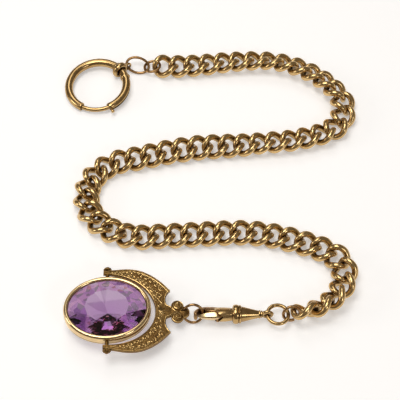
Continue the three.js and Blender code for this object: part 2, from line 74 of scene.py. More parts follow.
def sweep(path, radius, sides=14, closed=False, flat=1.0, up=None):
    count = len(path)
    along = []
    for i in range(count):
        before = path[i - 1] if i or closed else path[0]
        after = path[(i + 1) % count] if i < count - 1 or closed else path[-1]
        along.append((after - before).normalized())
    side = (up.cross(along[0]) if up else along[0].orthogonal()).normalized()
    frames = []
    for i, t in enumerate(along):
        if up:
            side = up.cross(t)
        elif i:
            side = along[i - 1].rotation_difference(t) @ side
        side = (side - t * side.dot(t)).normalized()
        frames.append(side.copy())
    twist = 0.0
    if closed and not up:
        end = along[-1].rotation_difference(along[0]) @ frames[-1]
        twist = math.atan2(end.cross(frames[0]).dot(along[0]), end.dot(frames[0]))
    points, faces = [], []
    for i, (p, t) in enumerate(zip(path, along)):
        r = radius(i / (count - 1)) if callable(radius) else radius
        a = Matrix.Rotation(twist * i / count, 3, t) @ frames[i]
        b = t.cross(a)
        for k in range(sides):
            v = 2 * math.pi * k / sides
            points.append(p + r * (math.cos(v) * a + flat * math.sin(v) * b))
    for i in range(count if closed else count - 1):
        j = (i + 1) % count
        for k in range(sides):
            m = (k + 1) % sides
            faces.append((i * sides + k, i * sides + m, j * sides + m, j * sides + k))
    if not closed:
        faces.append(tuple(range(sides)))
        faces.append(tuple(range((count - 1) * sides, count * sides)))
    return points, faces


def arc(radius, start, stop, steps):
    turns = [math.radians(start + (stop - start) * i / steps) for i in range(steps + 1)]
    return [Vector((radius * math.cos(a), radius * math.sin(a), 0)) for a in turns]


def hoop(radius, wire, steps=72, sides=16):
    return sweep(arc(radius, 0, 360, steps)[:-1], wire, sides, closed=True)


# %% [markdown]
# ## Turning on a lathe
# The clip, the pins and the knob are turned: a profile of (place along the axis, radius) spun about the axis. The
# same idea bent round a circle makes the bolt ring's tube, because each stop of the profile is then an angle.

# %% Turned shapes, straight and bent


def turned(profile, sides=48):
    """Spun about X. A stop with no radius closes the end with one point."""
    return wrapped([(Vector((x, 0, 0)), Vector((0, 1, 0)), Vector((0, 0, 1)), r) for x, r in profile], sides)


def bent(profile, ring, sides=32):
    """Spun about a circle. A stop is (angle, radius) or (angle, radius, lean of the cut in degrees)."""
    stops = []
    for angle, r, *lean in profile:
        a = math.radians(angle)
        out = Vector((math.cos(a), math.sin(a), 0))
        push = Vector((-out.y, out.x, 0)) * (math.tan(math.radians(lean[0])) if lean else 0)
        stops.append((out * ring, out + push, Vector((0, 0, 1)), r))
    return wrapped(stops, sides)


def wrapped(stops, sides):
    points, faces, rows = [], [], []
    for centre, a, b, r in stops:
        start = len(points)
        if r == 0:
            points.append(centre)
            rows.append([start] * sides)
            continue
        for k in range(sides):
            v = 2 * math.pi * k / sides
            points.append(centre + r * (math.cos(v) * a + math.sin(v) * b))
        rows.append(list(range(start, start + sides)))
    for one, two in zip(rows, rows[1:]):
        for k in range(sides):
            m = (k + 1) % sides
            ring = list(dict.fromkeys((one[k], one[m], two[m], two[k])))
            if len(ring) > 2:
                faces.append(tuple(ring))
    return points, faces


def ball(radius, centre=(0, 0, 0), squash=1.0, steps=12):
    stops = [(-radius * math.cos(math.pi * i / steps), radius * math.sin(math.pi * i / steps) if 0 < i < steps else 0)
             for i in range(steps + 1)]
    points, faces = turned(stops, 2 * steps)
    return [Vector((y, z, x * squash)) + Vector(centre) for x, y, z in points], faces


# %% [markdown]
# ## Placing and joining
# A piece is drawn flat at its own zero, then moved by one matrix, as a goldsmith solders finished bits together.
# The last step joins the bits into one mesh, adds the shift, turns millimetres into metres, shades it smooth and
# keeps creases sharp. It also says which body the piece rides on and which CAD nodes it stands for.

# %% Move bits and join them into a piece


def moved(bit, matrix):
    return [matrix @ p for p in bit[0]], bit[1]


def shifted(x, y, z):
    return Matrix.Translation((x, y, z))


def spun(degrees, axis):
    return Matrix.Rotation(math.radians(degrees), 4, axis)


def tipped(x, y, z):
    return spun(x, "X") @ spun(y, "Y") @ spun(z, "Z")


def face_out(mesh):
    work = bmesh.new()
    work.from_mesh(mesh)
    bmesh.ops.recalc_face_normals(work, faces=work.faces)
    work.to_mesh(mesh)
    work.free()


def piece(name, bits, finish, body, nodes, crease=38):
    points, faces = [], []
    for bit_points, bit_faces in bits:
        start = len(points)
        points += [(Vector(p) + shift) / 1000 for p in bit_points]
        faces += [tuple(start + i for i in face) for face in bit_faces]
    mesh = bpy.data.meshes.new(name)
    mesh.from_pydata(points, [], faces)
    face_out(mesh)
    mesh.shade_smooth()
    if crease:
        mesh.set_sharp_from_angle(angle=math.radians(crease))
    else:
        mesh.shade_flat()
    mesh.materials.append(finish)
    made = bpy.data.objects.new(name, mesh)
    bpy.context.scene.collection.objects.link(made)
    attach(made, body)
    if nodes:
        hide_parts(*nodes)
    return made


# %% [markdown]
# A file cuts what a sweep can't: the knob's slot, a drilled eye, the clip's jaw. A boolean modifier does it once,
# and its result is kept as the mesh, so nothing is left to compute later.

# %% Cut one bit out of another


def carved(bit, *tools):
    def loose(shape, name):
        mesh = bpy.data.meshes.new(name)
        mesh.from_pydata([tuple(p) for p in shape[0]], [], shape[1])
        face_out(mesh)
        thing = bpy.data.objects.new(name, mesh)
        bpy.context.scene.collection.objects.link(thing)
        return thing

    blank = loose(bit, "blank")
    cutters = [loose(tool, "cutter") for tool in tools]
    for cutter in cutters:
        cut = blank.modifiers.new("cut", "BOOLEAN")
        cut.operation, cut.solver, cut.object = "DIFFERENCE", "EXACT", cutter
    result = bpy.data.meshes.new_from_object(blank.evaluated_get(bpy.context.evaluated_depsgraph_get()))
    shape = [v.co.copy() for v in result.vertices], [tuple(p.vertices) for p in result.polygons]
    for thing in (blank, *cutters):
        bpy.data.objects.remove(thing)
    return shape


# %% [markdown]
# ## Old gold
# Worn rose gold isn't one colour. The raised parts are rubbed pale, the hollows keep a brown film, and the polish
# varies from place to place. Painted maps could hold that, but nodes follow the metal wherever it goes: noise in
# the piece's own coordinates for the tint, ambient occlusion for the brown film and painted shade where pieces meet,
# pointiness for rubbed edges, and a stretched noise for the fine scratches. A chased ground adds small cells as
# stippling. A number that is the same all over is set on the shader.

# %% Mix the gold


def gold(name, pale, rich, film_and_shade, rough, bump=0.05, film_and_shade_share=0.8, engraved=0.0, reach=0.0016):
    finish = bpy.data.materials.new(name)
    finish.use_nodes = True
    nodes, links = finish.node_tree.nodes, finish.node_tree.links
    metal = nodes["Principled BSDF"]
    metal.inputs["Metallic"].default_value = 1.0

    where = nodes.new("ShaderNodeTexCoord")

    def speckle(scale, detail, stretch=(1, 1, 1)):
        to_mm = nodes.new("ShaderNodeMapping")
        to_mm.inputs["Scale"].default_value = [1000 * s for s in stretch]
        links.new(where.outputs["Object"], to_mm.inputs["Vector"])
        cloud = nodes.new("ShaderNodeTexNoise")
        cloud.inputs["Scale"].default_value = scale
        cloud.inputs["Detail"].default_value = detail
        links.new(to_mm.outputs["Vector"], cloud.inputs["Vector"])
        return cloud.outputs["Fac"]

    def ramp(source, start, stop, first, last):
        steps = nodes.new("ShaderNodeMapRange")
        for key, value in zip(("From Min", "From Max", "To Min", "To Max"), (start, stop, first, last)):
            steps.inputs[key].default_value = value
        links.new(source, steps.inputs["Value"])
        return steps.outputs["Result"]

    def blend(share, one, two):
        mixed = nodes.new("ShaderNodeMix")
        mixed.data_type = "RGBA"
        links.new(share, mixed.inputs["Factor"])
        for socket, value in ((mixed.inputs[6], one), (mixed.inputs[7], two)):
            if isinstance(value, tuple):
                socket.default_value = (*value, 1)
            else:
                links.new(value, socket)
        return mixed.outputs[2]

    def math_of(kind, one, two):
        sum_node = nodes.new("ShaderNodeMath")
        sum_node.operation = kind
        for socket, value in zip(sum_node.inputs, (one, two)):
            if isinstance(value, (int, float)):
                socket.default_value = value
            else:
                links.new(value, socket)
        return sum_node.outputs[0]

    tint = blend(ramp(speckle(0.35, 3), 0.35, 0.65, 0, 1), pale, rich)
    # Ambient occlusion mixes the film colour into hollows and joins: partly a brown film, partly painted shade.
    shade = nodes.new("ShaderNodeAmbientOcclusion")
    shade.inputs["Distance"].default_value = reach
    shade.samples = 8
    shaded_hollow = ramp(shade.outputs["AO"], 0.35, 0.95, film_and_shade_share, 0)
    patchy = math_of("MULTIPLY", shaded_hollow, ramp(speckle(0.7, 2), 0.3, 0.6, 0.75, 1.1))
    filmed_and_shaded = blend(patchy, tint, film_and_shade)
    shape = nodes.new("ShaderNodeNewGeometry")
    rubbed = ramp(shape.outputs["Pointiness"], 0.51, 0.56, 0, 0.6)
    links.new(blend(rubbed, filmed_and_shaded, tuple(min(1, 1.12 * c) for c in pale)), metal.inputs["Base Color"])

    smear = ramp(speckle(0.4, 2), 0.3, 0.7, rough * 0.8, rough * 1.3)
    links.new(math_of("ADD", smear, math_of("MULTIPLY", shaded_hollow, 0.18)), metal.inputs["Roughness"])

    scratches = speckle(9, 4, (0.35, 1.6, 1.0))
    dents = speckle(0.45, 1)
    relief = math_of("ADD", math_of("MULTIPLY", scratches, 0.06), dents)
    if engraved:
        cells = nodes.new("ShaderNodeTexVoronoi")
        cells.inputs["Scale"].default_value = 3400
        links.new(where.outputs["Object"], cells.inputs["Vector"])
        relief = math_of("ADD", relief, math_of("MULTIPLY", cells.outputs["Distance"], engraved))
    hammer = nodes.new("ShaderNodeBump")
    hammer.inputs["Strength"].default_value = bump
    hammer.inputs["Distance"].default_value = 0.00012
    links.new(relief, hammer.inputs["Height"])
    links.new(hammer.outputs["Normal"], metal.inputs["Normal"])
    return finish


# Each gold's third colour is its film: brown film and painted shade in the hollows.
link_gold = gold("worn link gold", (0.67, 0.465, 0.21), (0.50, 0.325, 0.135), (0.045, 0.02, 0.007), 0.20,
                 film_and_shade_share=0.94)
tube_gold = gold("polished tube gold", (0.55, 0.37, 0.16), (0.41, 0.255, 0.10), (0.04, 0.017, 0.006), 0.19,
                 film_and_shade_share=0.94)
# The rings' brown gold; the clip's hook takes it too, as painted shade.
ring_gold = gold("brown ring gold", (0.44, 0.265, 0.115), (0.29, 0.16, 0.065), (0.04, 0.017, 0.007), 0.25)
# The yoke's dark gold takes the film in full: brown film and painted shade round the raised work.
yoke_gold = gold("chased yoke gold", (0.25, 0.145, 0.045), (0.17, 0.09, 0.027), (0.02, 0.008, 0.003), 0.38,
                 bump=0.5, film_and_shade_share=1.0, engraved=1.2, reach=0.0006)
chasing_gold = gold("rubbed chasing gold", (0.70, 0.48, 0.20), (0.50, 0.31, 0.11), (0.04, 0.016, 0.005), 0.22,
                    film_and_shade_share=0.9, reach=0.0003)
bezel_gold = gold("bright bezel gold", (0.80, 0.60, 0.33), (0.66, 0.46, 0.22), (0.12, 0.06, 0.02), 0.14, bump=0.04)
print("finishes:", [m.name for m in (link_gold, tube_gold, ring_gold, yoke_gold, chasing_gold, bezel_gold)])

# %% [markdown]
# ## Curb links
# A curb link is an oval of thick wire, twisted so that the chain lies flat. Here the path itself holds the twist:
# an oval whose cross line turns one way at one end and the other way at the other. An array modifier along a curve
# would copy links too, but this chain leans and turns by its own table, so each link is placed by numbers.

# %% Draw one link
link_wire, link_half_length, link_half_width = 0.95, 3.5, 3.22
link_twist = math.radians(53)


def curb_link(steps=64, sides=16):
    path = []
    for i in range(steps):
        a = 2 * math.pi * i / steps
        twist, y = -link_twist * math.cos(a), link_half_width * math.sin(a)
        path.append(Vector((link_half_length * math.cos(a), y * math.cos(twist), y * math.sin(twist))))

    def wire(t):
        """Worn at the ends where links rub, full at the sides, with a small bead where it was soldered shut."""
        a = 2 * math.pi * t
        return link_wire * (1 - 0.06 * math.cos(2 * a) + 0.03 * math.exp(-((t - 0.27) / 0.018) ** 2))

    return sweep(path, wire, sides, closed=True)


link = curb_link()
print("points in one link:", len(link[0]))

# %% [markdown]
# The route is a table of runs: so many links, so many degrees of turn. A second table leans the links about the
# chain's own line. Two neighbouring links belong to one body of the frame. Their spacing there is uneven to leave
# room for the joints, so here the two links of a body are moved a little closer and the chain looks regular. Only
# the first and the last link stay put, because a ring hangs in each.

# %% Lay the links along the table
runs = [[3, 8], [3, -7], [2, -18], [4, -37], [4, -105], [3, -15], [4, -1], [4, 10],
        [2, -3], [6, 128], [3, 44], [5, 0], [3, -17], [3, -10], [3, -90], [3, -56]]
leans = [[1, 5], [5, -12], [8, -27], [13, -25], [15, -5], [17, 14], [21, 14],
         [23, -5], [25, -15], [28, -8], [31, 0], [50, 0], [56, 60]]
soldered, slack, last_link = 5.4, 4.5, 56
first_link = Vector((-11.2, 51.0))
nearer = 0.225


def lean_of(n):
    for (n0, v0), (n1, v1) in zip(leans, leans[1:]):
        if n0 <= n <= n1:
            return v0 + (v1 - v0) * (n - n0) / (n1 - n0)


def link_rise(lean):
    rise = 0
    for i in range(90):
        a = math.pi * i / 90
        rise = max(rise, abs(link_half_width * math.sin(a) * math.sin(link_twist * math.cos(a) - math.radians(lean))))
    return rise


headings = [-0.5]
for count, turn in runs:
    headings += [headings[-1] + turn * (i + 1) / count for i in range(count)]
stations = []
spot = first_link.copy()
for n in range(1, last_link + 1):
    if n > 1:
        course = math.radians((headings[n - 2] + headings[n - 1]) / 2)
        spot = spot + (soldered if n % 2 == 0 else slack) * Vector((math.cos(course), math.sin(course)))
    stations.append(Vector((spot.x, spot.y, link_rise(lean_of(n)) + link_wire)))

for a in range(0, last_link, 2):
    pull = (stations[a + 1] - stations[a]).normalized() * nearer
    bits = [moved(link, Matrix.Translation(stations[n] + push) @ spun(headings[n], "Z") @ spun(lean_of(n + 1), "X"))
            for n, push in ((a, pull * (a > 0)), (a + 1, -pull * (a + 2 < last_link)))]
    label = f"{a + 1:02d}_{a + 2:02d}"
    piece(f"curb_links_{label}", bits, link_gold, f"links_{label}", [f"links_{label}"])
print("links laid:", last_link, "from", [round(v, 1) for v in stations[0]], "to", [round(v, 1) for v in stations[-1]])

# %% [markdown]
# ## Bolt ring
# The bolt ring is a bent tube with a sprung bolt inside. It could be a torus with a gap, but the open ends show
# the tube's wall, so the profile goes in one bore, over the lip, round the outside and down the other bore.

# %% Bend the tube and slit it for the knob
ring_radius, tube_outer, tube_bore = 9.4, 1.33, 0.96
tube_start, tube_end, knob_angle = -65, 240, -62.5
band_angle, band_radius, band_wire = 41, 2.12, 0.62
ring_tilt = math.degrees(math.asin((band_radius + band_wire - tube_outer) / (2 * ring_radius)))
tilt_line = Vector((math.sin(math.radians(band_angle)), -math.cos(math.radians(band_angle)), 0))
bolt_ring_place = (shifted(-33.2, 43.2, (band_radius + band_wire + 0.05 + tube_outer) / 2)
                   @ Matrix.Rotation(math.radians(ring_tilt), 4, tilt_line))
lip = [(tube_end - 1.2, tube_outer), (tube_end - 0.4, tube_outer - 0.02), (tube_end, tube_outer - 0.09)]
tube_profile = ([(tube_end - 14, 0), (tube_end - 14, tube_bore), (tube_end, tube_bore)] + lip[::-1]
                + [(tube_end - 3 - 4 * i, tube_outer) for i in range(74)]
                + [(tube_start + 6, tube_outer), (tube_start + 2, tube_outer, 12),
                   (tube_start, tube_outer - 0.08, 16), (tube_start, tube_bore, 16), (tube_start + 8, tube_bore)]
                + [(a, tube_bore) for a in range(-50, 60, 8)] + [(62, tube_bore), (62, 0)])


def arc_bar(radius, start, stop, half_deep, half_high, steps=16):
    points, faces = [], []
    for out in arc(1, start, stop, steps):
        for r, z in ((-1, -1), (1, -1), (1, 1), (-1, 1)):
            points.append(out * (radius + r * half_deep) + Vector((0, 0, z * half_high)))
    for i in range(steps):
        for k in range(4):
            faces.append((4 * i + k, 4 * i + (k + 1) % 4, 4 * i + 4 + (k + 1) % 4, 4 * i + 4 + k))
    return points, faces + [(0, 1, 2, 3), (4 * steps, 4 * steps + 1, 4 * steps + 2, 4 * steps + 3)]


tube = carved(bent(tube_profile, ring_radius), arc_bar(ring_radius + 1.1, tube_start - 6, -8, 0.9, 0.36))
collars = []
for angle in (18.5, 50.5):
    seat = shifted(ring_radius * math.cos(math.radians(angle)), ring_radius * math.sin(math.radians(angle)), 0)
    seat = seat @ spun(angle + 90, "Z")
    collars.append(moved(turned([(-0.5, 1.2), (-0.48, 1.36), (-0.3, 1.4), (-0.22, 1.58), (0.0, 1.66), (0.22, 1.6),
                                 (0.42, 1.42), (0.5, 1.3), (0.5, 1.2), (-0.5, 1.2)]), seat))
bits = [moved(bit, bolt_ring_place) for bit in (tube, *collars)]
piece("bolt_ring_tube_fine", bits, tube_gold, "bolt_ring", ["bolt_ring_tube"], crease=30)
print("tube points:", len(tube[0]), "tilt:", round(ring_tilt, 2))

# %% [markdown]
# The bolt is a slimmer rod on the same circle. A turned knob on a short pin pulls it back against its spring.

# %% Bend the bolt and turn its knob
bolt_wire = 0.72
bolt = bent([(237, 0), (237, 0.6), (237.8, bolt_wire)] + [(240 + 4 * i, bolt_wire) for i in range(27)]
            + [(350, bolt_wire), (350, 0)], ring_radius, 24)
out = Vector((math.cos(math.radians(knob_angle)), math.sin(math.radians(knob_angle)), 0))
knob = turned([(0, 0), (0, 0.3), (1.32, 0.3), (1.4, 0.42), (1.5, 0.42), (1.6, 0.3), (1.72, 0.34), (1.82, 0.5),
               (2.05, 0.6), (2.3, 0.55), (2.5, 0.36), (2.58, 0.18), (2.6, 0)], 24)
knob = moved(knob, shifted(*(out * ring_radius)) @ spun(knob_angle, "Z"))
piece("bolt_and_knob", [moved(bolt, bolt_ring_place), moved(knob, bolt_ring_place)], tube_gold, "bolt",
      ["bolt"], crease=30)

# %% [markdown]
# A loose band turns on the tube and carries a small eye. It's a heavier hoop than the rest, so it gets a section
# that is wider than it is deep, as a cast band has.

# %% Make the swivel band
eye_radius, eye_wire = 1.18, 0.36
band = sweep(arc(band_radius, 0, 360, 72)[:-1], band_wire, 18, closed=True, flat=1.55, up=Vector((0, 0, 1)))
band_eye = moved(hoop(eye_radius, eye_wire, 48, 12), shifted(band_radius + eye_radius, 0, 0))
seat = (bolt_ring_place @ shifted(ring_radius * math.cos(math.radians(band_angle)),
                                  ring_radius * math.sin(math.radians(band_angle)), 0)
        @ spun(band_angle, "Z") @ spun(20, "Y") @ spun(90, "X"))
piece("swivel_band_fine", [moved(band, seat), moved(band_eye, seat)], tube_gold, "swivel_band",
      ["swivel_band"])

# %% [markdown]
# ## Loops and rings
# Plain rings join the fittings to the links. Each is a bent wire with a faint solder bead. The jump ring was never
# soldered: it keeps the gap that it was opened by, with cut ends that are rounded by wear.

# %% Bend the loops and rings


def soldered_ring(radius, wire, bead_at=0.6, across=None, steps=72, sides=16):
    path = [Vector((radius * math.cos(a), (across or radius) * math.sin(a), 0))
            for a in (2 * math.pi * i / steps for i in range(steps))]
    return sweep(path, lambda t: wire * (1 + 0.10 * math.exp(-((t - bead_at) / 0.02) ** 2)), sides, closed=True)


oval_loop = moved(soldered_ring(3.7, 0.43, 0.3, across=2.45), shifted(-20.4, 51.9, 2.02) @ tipped(37, 0, -15))
piece("oval_loop_fine", [oval_loop], ring_gold, "oval_loop", ["oval_loop"])
small_ring = moved(soldered_ring(2.55, 0.45, 0.8), shifted(-15.6, 51.3, 2.1) @ tipped(-9, -9, 0))
piece("small_ring_fine", [small_ring], ring_gold, "small_ring", ["small_ring"])
jump_wire = 0.45


def cut_end(t):
    near = min(t, 1 - t) * 60
    return jump_wire * math.sqrt(max(0.02, 1 - (1 - min(near, 1)) ** 2))


jump_ring = moved(sweep(arc(2.45, -53, 293, 90), cut_end, 16), shifted(26.62, -41.52, 3.3) @ tipped(66, 10, 0))
piece("jump_ring_fine", [jump_ring], ring_gold, "jump_ring", ["jump_ring"])
eye_x, clip_y, clip_z, swivel_radius = 19.6, -41.7, 3.1, 3.05
swivel_seat = shifted(eye_x, clip_y, clip_z) @ spun(2, "Y") @ shifted(swivel_radius, 0, 0)
piece("swivel_ring_fine", [moved(soldered_ring(swivel_radius, 0.56, 0.35), swivel_seat)], tube_gold,
      "swivel_ring", ["swivel_ring"])

# %% [markdown]
# ## Swivel clip
# The clip is turned from bar: a flared cone for the swivel, a domed collar, then a shank that is filed from round
# towards square. The turned half is one profile. Small steps in it make the bright lines that a lathe tool leaves.

# %% Turn the cone, the collar and the eye
clip_place = shifted(0, clip_y, clip_z) @ spun(-35, "X")
barrel = turned([
    (8.5, 0), (8.5, 1.6), (9.35, 1.8), (9.5, 2.2), (9.62, 2.5), (9.8, 2.7), (10.1, 2.83), (10.5, 2.85),
    (10.9, 2.83), (11.15, 2.74), (11.25, 2.6), (11.33, 2.55), (11.42, 2.6), (11.5, 2.72), (11.75, 2.72),
    (11.95, 2.62), (12.05, 2.4), (12.1, 2.28), (12.7, 2.16), (13.6, 1.93), (14.6, 1.68), (15.6, 1.43), (16.6, 1.2),
    (17.1, 1.1), (17.18, 1.2), (17.3, 1.24), (17.5, 1.22), (17.6, 1.1), (17.6, 0.66), (15.35, 0.66), (15.35, 1.0),
    (13.5, 1.0), (13.5, 0)], 64)
swivel_eye = [
    moved(hoop(1.3, 0.55, 48, 16), spun(90, "X")),
    turned([(-5.2, 0), (-5.2, 0.85), (-4.4, 0.85), (-4.4, 0.5), (-1.95, 0.5), (-1.9, 0.95), (-1.8, 1.08), (-1.6, 1.1),
            (-1.45, 1.0), (-1.35, 0.72), (-1.2, 0.6), (-1.0, 0)], 32),
]
piece("swivel_eye_fine", [moved(bit, shifted(eye_x, clip_y, clip_z)) for bit in swivel_eye], tube_gold,
      "swivel_eye", ["swivel_eye"], crease=32)
print("barrel points:", len(barrel[0]))

# %% [markdown]
# The hook is a flat shape with rounded edges. A poly curve filled on both sides gives exactly that: an extrusion
# for the thickness and a bevel for the edge, drawn inward so that the outline keeps its size. It takes the darker
# ring gold as painted shade, so it's a piece of its own. The shank behind it is lofted through cushion-shaped
# sections, and the lever's mouth is cut into it as a V, the way a triangular file would leave it.

# %% Fill an outline as a plate


def plate(outline, half_thick, round_by, holes=()):
    curve = bpy.data.curves.new("plate", "CURVE")
    curve.dimensions, curve.fill_mode = "2D", "BOTH"
    for ring in (outline, *holes):
        spline = curve.splines.new("POLY")
        spline.points.add(len(ring) - 1)
        for point, (x, y) in zip(spline.points, ring):
            point.co = (x, y, 0, 1)
        spline.use_cyclic_u = True
    curve.extrude, curve.bevel_depth, curve.offset = half_thick - round_by, round_by, -round_by
    curve.bevel_resolution = 3
    thing = bpy.data.objects.new("plate", curve)
    bpy.context.scene.collection.objects.link(thing)
    mesh = bpy.data.meshes.new_from_object(thing.evaluated_get(bpy.context.evaluated_depsgraph_get()))
    work = bmesh.new()
    work.from_mesh(mesh)
    bmesh.ops.remove_doubles(work, verts=work.verts, dist=1e-4)
    work.to_mesh(mesh)
    work.free()
    shape = [v.co.copy() for v in mesh.vertices], [tuple(p.vertices) for p in mesh.polygons]
    bpy.data.objects.remove(thing)
    return shape


def bow(start, pull, stop, steps=8):
    """Points of a quadratic curve after its start."""
    return [tuple((1 - t) ** 2 * a + 2 * t * (1 - t) * b + t * t * c for a, b, c in zip(start, pull, stop))
            for t in ((i + 1) / steps for i in range(steps))]


hook_outline = ([(9.4, 1.6), (6.0, 2.3)] + bow((6.0, 2.3), (1.8, 3.4), (0.2, 2.3))
                + bow((0.2, 2.3), (-1.4, 1.3), (-1.75, -0.3))
                + [(-1.68, -1.2), (-1.5, -1.6), (-1.15, -1.75), (-0.8, -1.6), (-0.66, -1.1), (-0.6, -0.7)]
                + bow((-0.6, -0.7), (-0.4, 1.0), (1.2, 1.25)) + [(1.75, 0.6), (4.4, 0.05), (9.4, 0.0)])
hook = plate(hook_outline, 1.15, 0.42)


def cushion(x, low_y, high_y, half_z, sides=24):
    """A section between a circle and a square, as a file leaves it."""
    middle_y, half_y, ring = (low_y + high_y) / 2, (high_y - low_y) / 2, []
    for k in range(sides):
        c, d = math.cos(2 * math.pi * k / sides), math.sin(2 * math.pi * k / sides)
        c, d = math.copysign(abs(c) ** 0.6, c), math.copysign(abs(d) ** 0.6, d)
        ring.append(Vector((x, middle_y + half_y * c, half_z * d)))
    return ring


def lofted(sections):
    size = len(sections[0])
    points = [p for section in sections for p in section]
    faces = [(i * size + k, i * size + (k + 1) % size, (i + 1) * size + (k + 1) % size, (i + 1) * size + k)
             for i in range(len(sections) - 1) for k in range(size)]
    return points, faces + [tuple(range(size)), tuple(range(len(points) - size, len(points)))]


shank = lofted([cushion(4.3, -2.0, 1.6, 1.45), cushion(4.7, -2.3, 1.9, 1.68), cushion(6.0, -2.38, 2.05, 1.76),
                cushion(7.6, -2.25, 2.05, 1.74), cushion(8.8, -2.0, 1.9, 1.64), cushion(9.5, -1.9, 1.8, 1.5)])
mouth = [(2.5, -1.56), (5.3, -1.42), (6.95, 0), (5.3, 1.42), (2.5, 1.56)]
jaw = carved(shank, lofted([[Vector((x, y, z)) for x, z in mouth] for y in (-4.0, 0.1)]))
piece("clip_body_fine", [moved(bit, clip_place) for bit in (barrel, jaw)], tube_gold, "clip",
      ["clip_body"], crease=32)
# The hook takes the darker ring gold as painted shade.
piece("clip_hook_fine", [moved(hook, clip_place)], ring_gold, "clip", [], crease=32)

# %% [markdown]
# The lever is a long leaf with a ridge down its outer face. Seven points to a section, lofted from tip to tail,
# keep the ridge crisp where a sculpted or subdivided form would melt it.

# %% File the lever and turn its pin
leaf = []
for i in range(33):
    t = i / 32
    x = -5.6 + 7.0 * t
    full = math.sin(math.pi * min(0.5, 0.02 + 0.72 * t)) ** 0.75 * (1 if t < 0.78 else ((1 - t) / 0.22) ** 0.75)
    y, wide, back, ridge = 0.02 * (x + 2), 0.16 + 1.14 * full, 0.15 + 0.75 * full, 0.3 + 0.8 * full
    leaf.append([Vector((x, y + a, z)) for a, z in
                 ((back, 0.5 * wide), (0.1 * back, wide), (-0.8 * ridge, 0.34 * wide), (-ridge, 0),
                  (-0.8 * ridge, -0.34 * wide), (0.1 * back, -wide), (back, -0.5 * wide))])
lever_place = clip_place @ shifted(5.2, -1.5, 0)
piece("lever_fine", [moved(lofted(leaf), lever_place)], bezel_gold, "lever", ["lever"], crease=20)
pin = turned([(-1.7, 0), (-1.68, 0.25), (-1.62, 0.36), (-1.5, 0.4), (1.5, 0.4), (1.62, 0.36), (1.68, 0.25),
              (1.7, 0)], 24)
piece("lever_pin_fine", [moved(pin, lever_place @ spun(90, "Y"))], ring_gold, "clip", ["lever_pin"])

# %% [markdown]
# The fob ring joins the clip to the yoke. It's a soldered ring like the others, stood on edge across the hook. Its
# middle lies beyond the hook's bend, as when the stone pulls on it.

# %% Hang the fob ring in the hook
fob_ring_radius, fob_ring_x, fob_ring_y = 2.85, -1.9, 0.45
fob_ring = moved(soldered_ring(fob_ring_radius, 0.4, 0.1), spun(90, "X"))
piece("fob_ring_fine", [moved(fob_ring, clip_place @ shifted(fob_ring_x, fob_ring_y, 0))], ring_gold,
      "fob_ring", ["fob_ring"])

# %% [markdown]
# ## Yoke
# The yoke is a crescent sawn from plate. Its face is chased all over: a milled edge outside, a plain bead inside,
# and scrolls with small leaves between them. A bump texture alone would stay flat from the side, so the border and
# the scrolls are real wire laid on the plate, and only the stippled ground between them is left to the nodes. The
# plate and the wire are two pieces: the ground stays dark, with painted shade round the raised wire, while wear
# rubs the raised work to a paler gold.

# %% Saw the crescent
yoke_place = shifted(*fob_centre) @ spun(1.6, "Z") @ spun(7, "Y")
inner_length, inner_width, cusp, stem, half_plate = 13.9, 11.4, (18.3, 6.8), 1.5, 0.62


def inner_edge(degrees, out=0.0):
    a = math.radians(degrees)
    n = Vector((math.cos(a) / inner_length, math.sin(a) / inner_width)).normalized()
    return Vector((inner_length * math.cos(a), inner_width * math.sin(a))) + out * n, n


# the upper half of the outer edge, as a smooth line through the arm's end, its shoulder and the cusp
shoulder = [Vector(p) for p in ((-1.2, 12.7), (1.6, 12.95), (5.8, 13.45), (9.5, 13.05), (12.8, 11.6), (15.8, 9.4),
                                cusp)]
outer_edge = []
for i in range(len(shoulder) - 1):
    p0, p1, p2 = shoulder[max(i - 1, 0)], shoulder[i], shoulder[i + 1]
    p3 = shoulder[min(i + 2, len(shoulder) - 1)]
    for k in range(10):
        t = k / 10
        outer_edge.append(0.5 * (2 * p1 + (p2 - p0) * t + (2 * p0 - 5 * p1 + 4 * p2 - p3) * t * t
                                 + (3 * p1 - p0 - 3 * p2 + p3) * t ** 3))
outer_edge.append(Vector(cusp))
neck = ([cusp] + bow(cusp, (16.2, 4.6), (17.2, stem + 0.6), 12) + [(18.6, stem)])
upper = [tuple(p) for p in outer_edge] + neck[1:]
crescent = (upper + [(x, -y) for x, y in reversed(upper)]
            + [tuple(inner_edge(a)[0]) for a in range(-90, 91, 4)])
crescent.insert(len(upper) * 2, (-1.2, -11.5))
crescent.append((-1.2, 11.5))
crescent_plate, chased = plate(crescent, half_plate, 0.2), []
print("crescent corners:", len(crescent))

# %% [markdown]
# Along the outer edge runs milling, a row of tight bumps like the rim of a coin. One wire whose radius pulses does
# that with no copies. The inner bead is the same wire without the pulse.

# %% Lay the milled edge and the inner bead


def evenly(points, step):
    """The same line with points at even steps."""
    line, left = [points[0].copy()], step
    for a, b in zip(points, points[1:]):
        gap, done = (b - a).length, 0.0
        while gap - done >= left:
            done += left
            line.append(a.lerp(b, done / gap))
            left = step
        left -= gap - done
    return line


def laid(flat_points, height=half_plate):
    return [Vector((p[0], p[1], height)) for p in flat_points]


def mirrored(points):
    return [Vector((p.x, -p.y, p.z)) for p in points]


def inset(line, by):
    shifted_line = []
    for i, p in enumerate(line):
        a, b = line[max(i - 1, 0)], line[min(i + 1, len(line) - 1)]
        t = (b - a).normalized()
        shifted_line.append(p + by * Vector((t.y, -t.x)))
    return shifted_line


